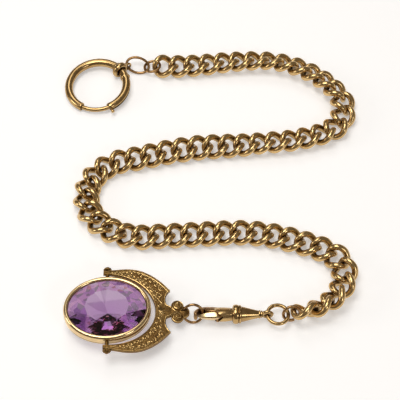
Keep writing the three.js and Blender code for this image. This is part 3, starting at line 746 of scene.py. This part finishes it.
edge_line = evenly(inset(outer_edge, 0.3), 0.085)
for line in (laid(edge_line), mirrored(laid(edge_line))):
    chased.append(sweep(line, lambda t: 0.20 + 0.075 * math.cos(2 * math.pi * t * len(edge_line) / 5), 8))
second_line = evenly(inset(outer_edge, 0.78), 0.2)
neck_line = evenly([Vector(p) for p in neck], 0.2)
for line in (second_line, inset(neck_line, 0.32)):
    for half in (laid(line), mirrored(laid(line))):
        chased.append(sweep(half, 0.12, 8))
bead_line = [Vector((*inner_edge(a, 0.26)[0], half_plate)) for a in range(-88, 89, 2)]
chased.append(sweep(bead_line, 0.15, 8))
print("bumps on the milled edge:", 2 * len(edge_line) // 5)

# %% [markdown]
# The scrolls follow the crescent: small and tight near the pins, wide by the neck. A spiral path with a radius that
# tapers to its tip reads as one stroke of the chaser's punch. Leaves are short tapered strokes fanned round a point.

# %% Chase scrolls and leaves


def band_width(degrees):
    start, n = inner_edge(degrees)
    best = 9.0
    line = [Vector(p) for p in upper]
    for a, b in zip(line, line[1:]):
        d = b - a
        cross = n.x * d.y - n.y * d.x
        if abs(cross) > 1e-9:
            s = ((a.x - start.x) * d.y - (a.y - start.y) * d.x) / cross
            u = ((a.x - start.x) * n.y - (a.y - start.y) * n.x) / cross
            if s > 0 and 0 <= u <= 1:
                best = min(best, s)
    return best


def stroke(points, thick):
    return sweep(points, lambda t: max(0.02, thick * (0.35 + 0.65 * math.sin(math.pi * min(1, t + 0.08)))), 8)


def spiral(centre, size, start, turn, steps=26):
    line = []
    for i in range(steps + 1):
        t = i / steps
        a, r = math.radians(start + turn * t), size * (1 - 0.82 * t)
        line.append(Vector((centre[0] + r * math.cos(a), centre[1] + r * math.sin(a))))
    return line


def fan(centre, heading, size, count=5, spread=130):
    leaves = []
    for k in range(count):
        a = math.radians(heading + spread * (k / (count - 1) - 0.5))
        tip = size * (1 - 0.25 * abs(k / (count - 1) - 0.5) * 2)
        bend = math.radians(22 * (k / (count - 1) - 0.5))
        leaves.append([Vector((centre[0] + tip * s * math.cos(a + bend * s),
                               centre[1] + tip * s * math.sin(a + bend * s)))
                       for s in (0.08, 0.3, 0.5, 0.7, 0.86, 1.0)])
    return leaves


strokes = []
for i, degrees in enumerate((9, 16.5, 24, 31, 37.5, 43.5, 49, 54.5, 59.5, 64, 68.5, 72.5, 76.5, 80.5, 84)):
    width = band_width(degrees) - 1.2
    rows = 2 if width > 2.3 else 1
    for row in range(rows):
        point, n = inner_edge(degrees + 3.2 * row, 0.5 + width * (row + 0.5) / rows)
        along, outward = math.degrees(math.atan2(n.x, -n.y)), math.degrees(math.atan2(n.y, n.x))
        size, side = 0.36 * width / rows + 0.12, 1 if (i + row) % 2 else -1
        strokes.append((spiral(point, size, outward + 90 * side, 450 * side), 0.15))
        tail_foot = point + size * Vector((math.cos(math.radians(along)), math.sin(math.radians(along))))
        for leaf_line in fan(tail_foot, along + 50 * side, 0.6 * size + 0.25, 4, 120):
            strokes.append((leaf_line, 0.11))
for leaf_line in fan((14.6, 0), 0, 2.6, 7, 120):
    strokes.append((leaf_line, 0.2))
strokes.append(([Vector((14.9 + 0.1 * i, 0)) for i in range(36)], 0.17))
for line, thick in strokes:
    line = laid(line, half_plate + 0.02)
    chased.append(stroke(line, thick))
    if abs(line[0].y) > 0.01 or abs(line[-1].y) > 0.01:
        chased.append(stroke(mirrored(line), thick))
piece("yoke_fine", [moved(crescent_plate, yoke_place)], yoke_gold, "yoke", ["yoke"], crease=40)
piece("yoke_chasing", [moved(bit, yoke_place) for bit in chased], chasing_gold, "yoke", [], crease=40)
print("strokes on the yoke:", len(strokes), "band width by the neck:", round(band_width(20), 2))

# %% [markdown]
# ## Trefoil and pins
# Three domed lobes stand between the yoke and its ring. A lobe is a squashed ball, and on the two inner lobes a wound
# scroll is laid on the dome, its height read off the ball. The outer lobe is drilled for the ring to swing in and has
# only a plain wire round it. The scrolls are again a piece of their own in the rubbed gold.

# %% Dome the lobes and drill the outer one
hole = yoke_place.inverted() @ clip_place @ Vector((fob_ring_x - fob_ring_radius, fob_ring_y, 0))
drill_line = (yoke_place.inverted() @ clip_place).to_3x3() @ Vector((0, 0, 1))
lobe_radius, lobe_height = 1.85, 1.15
lobe_spots = [(20.3, 1.75), (20.3, -1.75), (hole.x, hole.y)]


def lobe(x, y):
    return ball(lobe_radius, (x, y, 0), lobe_height / lobe_radius, 14)


def on_dome(line, x, y, lift=0.02):
    placed = []
    for p in line:
        share = min(0.98, (Vector((p.x - x, p.y - y)).length / lobe_radius) ** 2)
        placed.append(Vector((p.x, p.y, lobe_height * math.sqrt(1 - share) + lift)))
    return placed


drill = sweep([hole - 4 * drill_line, hole + 4 * drill_line], 1.0, 24)
trefoil = [lobe(*lobe_spots[0]), lobe(*lobe_spots[1]), carved(lobe(*lobe_spots[2]), drill)]
wound = []
trefoil.append(plate([(18.4, -1.1), (21.1, -1.1), (21.1, 1.1), (18.4, 1.1)], 0.6, 0.15))
for (x, y), start, way in zip(lobe_spots, (150, -150, 0), (1, -1, 1)):
    rim = [Vector((x + 0.9 * lobe_radius * math.cos(a), y + 0.9 * lobe_radius * math.sin(a)))
           for a in (2 * math.pi * i / 48 for i in range(48))]
    if (x, y) != lobe_spots[2]:
        wound.append(sweep(on_dome(rim, x, y), 0.13, 8, closed=True))
        wound.append(stroke(on_dome(spiral((x, y), 1.25, start, 520 * way, 40), x, y, 0.05), 0.2))
    else:
        wound.append(sweep([Vector((p.x, p.y, 0.5)) for p in rim], 0.12, 8, closed=True))
piece("finial_fine", [moved(bit, yoke_place) for bit in trefoil], yoke_gold, "yoke", ["finial"],
      crease=40)
piece("finial_scrolls", [moved(bit, yoke_place) for bit in wound], chasing_gold, "yoke", [], crease=40)
print("drilled eye at:", [round(v, 2) for v in hole])

# %% [markdown]
# The pins that hold the bezel end in rosettes. One pin and one disc are turned, and eight small balls ring the disc.

# %% Turn the pins and bead their rosettes
for name, side in (("pivot_far", 1), ("pivot_near", -1)):
    upright = spun(90 * side, "Z")
    rosette = [turned([(9.6, 0), (9.6, 0.55), (12.9, 0.55), (12.9, 1.1), (13.0, 1.22), (13.2, 1.22), (13.32, 1.1),
                       (13.4, 0.75), (13.75, 0.68), (14.0, 0.5), (14.1, 0.25), (14.12, 0)], 40)]
    for k in range(8):
        a = 2 * math.pi * k / 8
        rosette.append(ball(0.32, (13.3, 0.92 * math.cos(a), 0.92 * math.sin(a)), 1, 8))
    piece(name + "_fine", [moved(bit, yoke_place @ upright) for bit in rosette], yoke_gold, "yoke",
          [name])

# %% [markdown]
# ## Bezel
# The bezel is a thin oval wall whose top is rubbed over onto the stone. It's a profile of (inset, height) carried
# round the oval along its own normal, so that the lip keeps one width all the way, which a scaled torus wouldn't.

# %% Carry the bezel's profile round the oval
bezel_place = shifted(*fob_centre) @ spun(1.6, "Z")
bezel_length, bezel_width = 12.65, 10.4
rim_profile = [(1.1, -bezel_below), (0.35, -bezel_below), (0.08, -1.38), (0.0, -1.15), (0.0, -0.95), (0.1, -0.88),
               (0.1, -0.78), (0.0, -0.7), (0.0, 0.75), (0.06, 1.05), (0.2, 1.32), (0.42, 1.55), (0.7, 1.68),
               (1.0, 1.66), (1.25, 1.5), (1.42, 1.25), (1.46, 1.0), (1.3, 0.75), (1.1, 0.6)]


def round_oval(profile, length, width, steps=128):
    points, faces = [], []
    for i in range(steps):
        a = 2 * math.pi * i / steps
        n = Vector((math.cos(a) / length, math.sin(a) / width, 0)).normalized()
        edge = Vector((length * math.cos(a), width * math.sin(a), 0))
        points += [edge - inset_by * n + Vector((0, 0, z)) for inset_by, z in profile]
    size = len(profile)
    for i in range(steps):
        for k in range(size):
            m, j = (k + 1) % size, (i + 1) % steps
            faces.append((i * size + k, j * size + k, j * size + m, i * size + m))
    return points, faces


bezel = moved(round_oval(rim_profile, bezel_length, bezel_width), bezel_place)
piece("bezel_fine", [bezel], bezel_gold, "stone", ["bezel"], crease=50)

# %% [markdown]
# ## The amethyst
# The stone is an oval brilliant: a table, twelve stars, twelve kites and twenty-four girdle facets above, mains and
# lower halves below. A scaled sphere can't be faceted by chance, because every kite must be one flat plane. So the
# kite planes come first, from table corner to girdle, and the corners between them are read off those planes.

# %% Cut the facets
stone_length = 11.4
stone_width = stone_length * bezel_width / bezel_length
crown, pavilion, girdle, table_share, star_share, half_share = 2.5, 5.4, 0.3, 0.56, 0.77, 0.26
fold = 12


def facet_ring(share, z, count, offset=0.0):
    return [Vector((share * stone_length * math.cos(a), share * stone_width * math.sin(a), z))
            for a in (2 * math.pi * (i + offset) / count for i in range(count))]


lean = math.cos(math.pi / fold)
star_z = crown - (star_share * lean - table_share) / (1 - table_share) * (crown - girdle)
half_z = -girdle - (pavilion - girdle) * (1 - half_share * lean)
table = facet_ring(table_share, crown, fold)
stars = facet_ring(star_share, star_z, fold, 0.5)
top_girdle, low_girdle = facet_ring(1, girdle, 2 * fold), facet_ring(1, -girdle, 2 * fold)
halves = facet_ring(half_share, half_z, fold, 0.5)
corners = table + stars + top_girdle + low_girdle + halves + [Vector((0, 0, -pavilion))]
T, S, G, L, H, culet = 0, fold, 2 * fold, 4 * fold, 6 * fold, 7 * fold
facets = [tuple(range(fold))]
for i in range(fold):
    j, g, h, g2 = (i + 1) % fold, 2 * i, 2 * i + 1, (2 * i + 2) % (2 * fold)
    facets += [(T + i, S + i, T + j), (T + i, S + (i - 1) % fold, G + g, S + i)]
    facets += [(S + i, G + g, G + h), (S + i, G + h, G + g2)]
    facets += [(G + g, L + g, L + h, G + h), (G + h, L + h, L + g2, G + g2)]
    facets += [(H + i, L + g, L + h), (H + i, L + h, L + g2), (culet, H + (i - 1) % fold, L + g, H + i)]
print("facets:", len(facets))

# %% [markdown]
# Amethyst is clear, so its colour belongs to its depth and not to its skin: a volume that absorbs green makes thin
# parts pale and long paths dark. A cut stone also flashes light and dark in every facet, from what each facet
# reflects and lets through. Here that is painted: each facet carries a number, and a ramp with hard steps turns it
# into a tint, the stone's violet with painted reflection and shade. On the crown, sharp cells break it up further,
# as painted reflections of the underside's facets seen through it.

# %% Colour the stone
amethyst = bpy.data.materials.new("cut amethyst")
amethyst.use_nodes = True
nodes, links = amethyst.node_tree.nodes, amethyst.node_tree.links
glass = nodes["Principled BSDF"]
glass.inputs["Transmission Weight"].default_value = 1.0
glass.inputs["IOR"].default_value = 1.544
glass.inputs["Roughness"].default_value = 0.0
where = nodes.new("ShaderNodeTexCoord")
# Painted reflections: sharp cells on the crown stand for the underside's facets seen through it.
painted_underside_cells = nodes.new("ShaderNodeTexVoronoi")
painted_underside_cells.inputs["Scale"].default_value = 520
painted_underside_cells.inputs["Randomness"].default_value = 0.9
links.new(where.outputs["Object"], painted_underside_cells.inputs["Vector"])
channels = nodes.new("ShaderNodeSeparateColor")
links.new(painted_underside_cells.outputs["Color"], channels.inputs["Color"])
painted_facet_light = nodes.new("ShaderNodeAttribute")
painted_facet_light.attribute_name = "painted_facet_light"
patched = nodes.new("ShaderNodeMath")
patched.operation, patched.inputs[1].default_value = "LESS_THAN", 0.6
links.new(painted_facet_light.outputs["Fac"], patched.inputs[0])
patches = nodes.new("ShaderNodeMath")
patches.operation = "MULTIPLY"
links.new(channels.outputs["Red"], patches.inputs[0])
links.new(patched.outputs[0], patches.inputs[1])
share = nodes.new("ShaderNodeMath")
share.operation, share.inputs[1].default_value = "MULTIPLY_ADD", 0.42
links.new(patches.outputs[0], share.inputs[0])
links.new(painted_facet_light.outputs["Fac"], share.inputs[2])
# The ramp's steps mix the stone's violet with painted reflection and shade, from dark to pale, with grey and red
# ones.
violet_and_facet_light_ramp = nodes.new("ShaderNodeValToRGB")
violet_and_facet_light_ramp.color_ramp.interpolation = "CONSTANT"
violet_and_facet_light_ramp.color_ramp.elements[0].position, violet_and_facet_light_ramp.color_ramp.elements[0].color = 0.0, (0.16, 0.06, 0.24, 1)
violet_and_facet_light_ramp.color_ramp.elements[1].position, violet_and_facet_light_ramp.color_ramp.elements[1].color = 1.0, (0.92, 0.84, 0.94, 1)
for place, colour in ((0.14, (0.28, 0.10, 0.38, 1)), (0.28, (0.48, 0.22, 0.55, 1)), (0.42, (0.24, 0.21, 0.25, 1)),
                      (0.50, (0.72, 0.36, 0.68, 1)), (0.63, (0.46, 0.16, 0.20, 1)), (0.67, (0.70, 0.46, 0.73, 1)),
                      (0.78, (0.45, 0.40, 0.47, 1)), (0.86, (0.66, 0.50, 0.70, 1))):
    violet_and_facet_light_ramp.color_ramp.elements.new(place).color = colour
links.new(share.outputs[0], violet_and_facet_light_ramp.inputs["Fac"])
links.new(violet_and_facet_light_ramp.outputs["Color"], glass.inputs["Base Color"])
depth = nodes.new("ShaderNodeVolumeAbsorption")
depth.inputs["Color"].default_value = (0.62, 0.28, 0.72, 1)
depth.inputs["Density"].default_value = 70
links.new(depth.outputs["Volume"], nodes["Material Output"].inputs["Volume"])
stone = piece("amethyst_fine", [moved((corners, facets), bezel_place)], amethyst, "stone", ["amethyst"],
              crease=0)
# Each facet's number sets its painted reflection and shade: the table pale, the crown facets dark and light in turn,
# the pavilion mostly clear.
tint = stone.data.attributes.new("painted_facet_light", "FLOAT", "FACE")
pale_tint, crown_flash_range, clear_tint = 0.9, 0.55, 1.0
for face in stone.data.polygons:
    height = face.center.z * 1000 - shift.z - fob_centre.z
    spread = (0.618 * face.index * 5 + 0.17) % 1
    if height > crown - 0.01:
        tint.data[face.index].value = pale_tint
    elif height > 0:
        tint.data[face.index].value = crown_flash_range * spread
    else:
        tint.data[face.index].value = pale_tint if spread < 0.3 else clear_tint
print("tinted facets:", len(tint.data))

# %% [markdown]
# ## Table, lamps and camera
# The floor is a plain sheet that is much wider than the chain, and it glows softly near the chain, as paper does
# under a light tent. Metal shows what is around it, so the room stays dim and warm: broad lamps overhead and behind
# draw the long highlights, a small one on the left edges the metal, and a weak one fills the near side.

# %% Set the table and the lamps
mesh = bpy.data.meshes.new("table_top")
reach = 4.0
mesh.from_pydata([(-reach, -reach, 0), (reach, -reach, 0), (reach, reach, 0), (-reach, reach, 0)], [], [(0, 1, 2, 3)])
table_top = bpy.data.objects.new("table_top", mesh)
bpy.context.scene.collection.objects.link(table_top)
pale = bpy.data.materials.new("pale table")
pale.use_nodes = True
nodes, links = pale.node_tree.nodes, pale.node_tree.links
paper = nodes["Principled BSDF"]
paper.inputs["Base Color"].default_value = (0.93, 0.93, 0.93, 1)
paper.inputs["Roughness"].default_value = 0.9
paper.inputs["Specular IOR Level"].default_value = 0.1
paper.inputs["Emission Color"].default_value = (1, 1, 1, 1)
spot_on_table = nodes.new("ShaderNodeTexCoord")
far_out = nodes.new("ShaderNodeVectorMath")
far_out.operation = "LENGTH"
links.new(spot_on_table.outputs["Object"], far_out.inputs[0])
glow = nodes.new("ShaderNodeMapRange")
glow_from, glow_to, glow_near, glow_far = 0.10, 0.45, 0.33, 0.16
for key, value in zip(("From Min", "From Max", "To Min", "To Max"), (glow_from, glow_to, glow_near, glow_far)):
    glow.inputs[key].default_value = value
links.new(far_out.outputs["Value"], glow.inputs["Value"])
links.new(glow.outputs["Result"], paper.inputs["Emission Strength"])
mesh.materials.append(pale)

middle = Vector((-3.02, -0.41, 0)) / 1000


def lamp(name, spot, size, power, tint=(1, 1, 1)):
    light = bpy.data.lights.new(name, "AREA")
    light.shape, light.size, light.energy, light.color = "SQUARE", size, power, tint
    made = bpy.data.objects.new(name, light)
    made.location = Vector(spot)
    made.rotation_euler = (middle - made.location).to_track_quat("-Z", "Y").to_euler()
    bpy.context.scene.collection.objects.link(made)


lamp("overhead", (-0.14, 0.0, 0.66), 0.36, 1.9, (1, 0.98, 0.95))
lamp("behind", (-0.06, 0.44, 0.56), 0.30, 0.6, (1, 0.98, 0.95))
lamp("left_side", (-0.60, -0.05, 0.26), 0.20, 0.5, (1, 0.98, 0.96))
lamp("near_fill", (0.30, -0.40, 0.36), 0.14, 0.3, (0.97, 0.98, 1))
world = bpy.data.worlds.new("studio")
bpy.context.scene.world = world
world.use_nodes = True
room = world.node_tree.nodes["Background"]
room.inputs["Color"].default_value = (0.26, 0.23, 0.20, 1)
room.inputs["Strength"].default_value = 0.75
bpy.context.scene.view_settings.view_transform = "Standard"

# %% [markdown]
# A long lens from well above keeps the ovals of the chain true. Its height and distance give the view of the S.

# %% Aim the camera
elevation, distance, focal = math.radians(56.5), 0.409, 119.2
lens = bpy.data.cameras.new("camera")
lens.lens, lens.sensor_width, lens.clip_start = focal, 36, 0.01
camera = bpy.data.objects.new("camera", lens)
camera.location = middle + distance * Vector((0, -math.cos(elevation), math.sin(elevation)))
camera.rotation_euler = (middle - camera.location).to_track_quat("-Z", "Y").to_euler()
bpy.context.scene.collection.objects.link(camera)
bpy.context.scene.camera = camera
